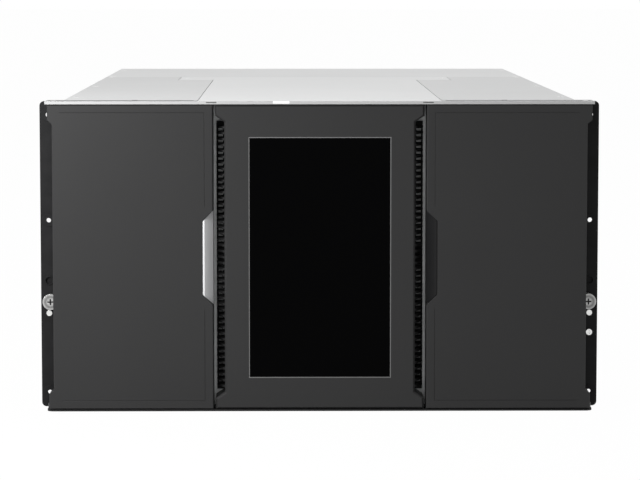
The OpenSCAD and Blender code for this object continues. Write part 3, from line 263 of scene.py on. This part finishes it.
def make_thumbscrew_metal(name):
    """Turned metal for a thumbscrew: rings round its axis, and painted shade in the cross recess."""
    rings_per_metre = 70
    ring_strength = 0.55
    cross_half, bar_half = 2.7, 0.65
    cross_depth = 2
    # The colour of the painted shade in the cross recess.
    cross_recess_shade = (0.02, 0.02, 0.02)
    material = surface(f"{name}_metal", (0.42, 0.42, 0.415), 0.36, metallic=0.75, spread=0.12, patch=400,
                       edge=0.3)
    low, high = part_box(name)
    middle = (low + high) / 2
    tree, shader, coords = workings(material)
    centred = mapped(tree, coords, in_Location=(-middle.x, 0, -middle.z))
    rings = node(tree, "ShaderNodeTexWave", wave_type="RINGS", rings_direction="Y",
                 in_Scale=rings_per_metre, in_Distortion=0.4)
    tree.links.new(centred, rings.inputs["Vector"])
    turned = node(tree, "ShaderNodeMixRGB", blend_type="MULTIPLY", in_Fac=ring_strength)
    tree.links.new(shader.inputs["Base Color"].links[0].from_socket, turned.inputs["Color1"])
    tree.links.new(rings.outputs["Color"], turned.inputs["Color2"])
    tree.links.new(turned.outputs["Color"], shader.inputs["Base Color"])
    x, z = middle.x / MM, middle.z / MM
    front = low.y / MM + 0.2
    back = low.y / MM + cross_depth
    # Painted shade in the two bars of the cross recess.
    paint_boxes(material, [
        ((x - across, front, z - up), (x + across, back, z + up), cross_recess_shade)
        for across, up in ((cross_half, bar_half), (bar_half, cross_half))
    ])
    return material


def dress_nodes(materials):
    """Gives each CAD node the finish of its slot, and some nodes a finish of their own: painted shade on
    the hood and the thumbscrews, and lighter copies of the cover paint as painted light on the centre and
    rear covers.
    """
    for row in frame["record"]["subparts"]:
        carried = NODES[row["node"]]
        carried.data.materials.clear()
        carried.data.materials.append(materials[row["material_slot"]])
    own = {
        "front_hood": make_hood_paint(),
        "thumbscrew_left": make_thumbscrew_metal("thumbscrew_left"),
        "thumbscrew_right": make_thumbscrew_metal("thumbscrew_right"),
        # Lighter copies of the cover paint: painted light on the centre and rear covers.
        "cover_centre": cover_sheet("cover_paint_centre_lit", 0.74),
        "cover_rear": cover_sheet("cover_paint_rear_lit", 0.69),
    }
    for name, material in own.items():
        NODES[name].data.materials[0] = material


# ---------------------------------------------------------------- small pieces
def add_object(name, data):
    """A new object with that data, in the scene."""
    made = bpy.data.objects.new(name, data)
    bpy.context.scene.collection.objects.link(made)
    return made


def opening(name):
    """Lowest and highest corner of a named opening of the record, in metres."""
    row = next(o for o in frame["record"]["physics"]["openings"] if o["name"] == name)
    return Vector(row["box_m"][0]), Vector(row["box_m"][1])


def bars(name, boxes, edge, body, material):
    """One piece of several bars with rounded edges, each from its low to its high corner."""
    shape = bmesh.new()
    for low, high in boxes:
        made = bmesh.ops.create_cube(shape, size=1)["verts"]
        size = high - low
        middle = (low + high) / 2
        for vertex in made:
            vertex.co = Vector(c * s for c, s in zip(vertex.co, size)) + middle
    bmesh.ops.bevel(shape, geom=shape.edges[:], offset=edge, segments=3, profile=0.5, affect="EDGES")
    mesh = bpy.data.meshes.new(name)
    shape.to_mesh(mesh)
    shape.free()
    for face in mesh.polygons:
        face.use_smooth = True
    piece = add_object(name, mesh)
    mesh.materials.append(material)
    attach(piece, body)


def inlet_pins(number, material):
    """The three blades of a mains inlet, two in a row and the earth blade above them."""
    low, high = opening(f"supply_inlet_{number}")
    middle = (low + high) / 2
    half_blade = Vector((1, 0, 2)) * MM
    reach = Vector((0, (high.y - low.y) * 0.6, 0))
    blade_places = ((-7, -1.5), (0, 2), (7, -1.5))
    roots = [Vector((middle.x + x * MM, low.y, middle.z + z * MM)) for x, z in blade_places]
    bars(f"inlet_pins_{number}", [(root - half_blade, root + half_blade + reach) for root in roots],
         0.3 * MM, f"power_supply_{number}", material)


def port_contacts(number, material):
    """Eight sprung contacts inside a network port."""
    low, high = opening(f"network_port_{number}")
    middle = (low + high) / 2
    count = 8
    pitch = 1.02 * MM
    half_width = 0.2 * MM
    under, over = high.z - 1.6 * MM, high.z - 1.2 * MM
    tip_y = high.y - 3 * MM
    boxes = []
    for i in range(count):
        x = middle.x + (i - (count - 1) / 2) * pitch
        boxes.append((Vector((x - half_width, low.y, under)), Vector((x + half_width, tip_y, over))))
    bars(f"port_contacts_{number}", boxes, 0.1 * MM, "controller", material)


def make_pieces(materials):
    """What the inlets and the network ports hold."""
    for number in (1, 2):
        inlet_pins(number, materials["bright_screw"])
        port_contacts(number, materials["bright_screw"])


# ---------------------------------------------------------------- studio
def light_path_white(tree, shader_out, white, share):
    """shader_out with that share of white mixed in for camera, glossy and transmission rays."""
    path = node(tree, "ShaderNodeLightPath")
    seen = maths(tree, "ADD", path.outputs["Is Camera Ray"], path.outputs["Is Glossy Ray"])
    seen = maths(tree, "ADD", seen, path.outputs["Is Transmission Ray"], clamp=True)
    mix = node(tree, "ShaderNodeMixShader")
    tree.links.new(maths(tree, "MULTIPLY", seen, share), mix.inputs[0])
    tree.links.new(shader_out, mix.inputs[1])
    tree.links.new(white, mix.inputs[2])
    return mix.outputs[0]


def make_floor():
    """A pale floor that shows almost white and keeps a trace of the object's shadow."""
    reach = 30
    white_share = 0.985
    mesh = bpy.data.meshes.new("floor")
    mesh.from_pydata([(-reach, -reach, 0), (reach, -reach, 0), (reach, reach, 0), (-reach, reach, 0)], [],
                     [(0, 1, 2, 3)])
    floor = add_object("floor", mesh)
    material, tree = new_material("floor_white")
    diffuse = node(tree, "ShaderNodeBsdfDiffuse", in_Color=(0.8, 0.8, 0.8, 1))
    glow = node(tree, "ShaderNodeEmission", in_Color=(1, 1, 1, 1), in_Strength=1.0)
    out = node(tree, "ShaderNodeOutputMaterial")
    mixed = light_path_white(tree, diffuse.outputs[0], glow.outputs[0], white_share)
    tree.links.new(mixed, out.inputs["Surface"])
    mesh.materials.append(material)


def make_world(strength):
    """A soft sky of that strength that shows white to the camera and in reflections."""
    world = bpy.data.worlds.new("studio")
    bpy.context.scene.world = world
    world.use_nodes = True
    tree = world.node_tree
    tree.nodes.clear()
    sky = node(tree, "ShaderNodeBackground", in_Color=(1, 1, 1, 1), in_Strength=strength)
    white = node(tree, "ShaderNodeBackground", in_Color=(1, 1, 1, 1), in_Strength=1.0)
    out = node(tree, "ShaderNodeOutputWorld")
    tree.links.new(light_path_white(tree, sky.outputs[0], white.outputs[0], 1.0), out.inputs["Surface"])


def area_light(name, place, target, size, power):
    """A square softbox at place that looks at target."""
    data = bpy.data.lights.new(name, "AREA")
    data.shape = "SQUARE"
    data.size = size
    data.energy = power
    lamp = add_object(name, data)
    lamp.location = place
    lamp.visible_camera = False
    lamp.rotation_euler = (Vector(target) - Vector(place)).to_track_quat("-Z", "Y").to_euler()


def make_lights():
    """A small key light low at the front left, and a broad light above."""
    area_light("key", place=(-0.5, -0.95, 0.42), target=(-0.14, -0.43, 0.15), size=0.3, power=6.3)
    area_light("top", place=(0.1, 0.5, 2.6), target=(0, 0, 0.2), size=2.0, power=32)


def make_camera():
    """The photograph's viewpoint: a long lens, a little above the top cover, pitched down."""
    aside = -24.9 * MM
    height = 371.1 * MM
    ear_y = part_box("rack_ear_left")[0].y + 0.6 * MM
    distance = 2.390
    pitch = math.radians(5.403)
    yaw = math.radians(0.606)
    data = bpy.data.cameras.new("camera")
    data.sensor_width = 36
    data.lens = 155.93
    data.clip_end = 100
    camera = add_object("camera", data)
    camera.location = (aside, ear_y - distance, height)
    camera.rotation_euler = (math.radians(90) - pitch, 0, -yaw)
    bpy.context.scene.camera = camera


make_camera()
make_world(strength=0.25)
make_floor()
make_lights()
slot_materials = make_materials()
dress_nodes(slot_materials)
make_pieces(slot_materials)
bpy.context.scene.view_settings.view_transform = "Standard"
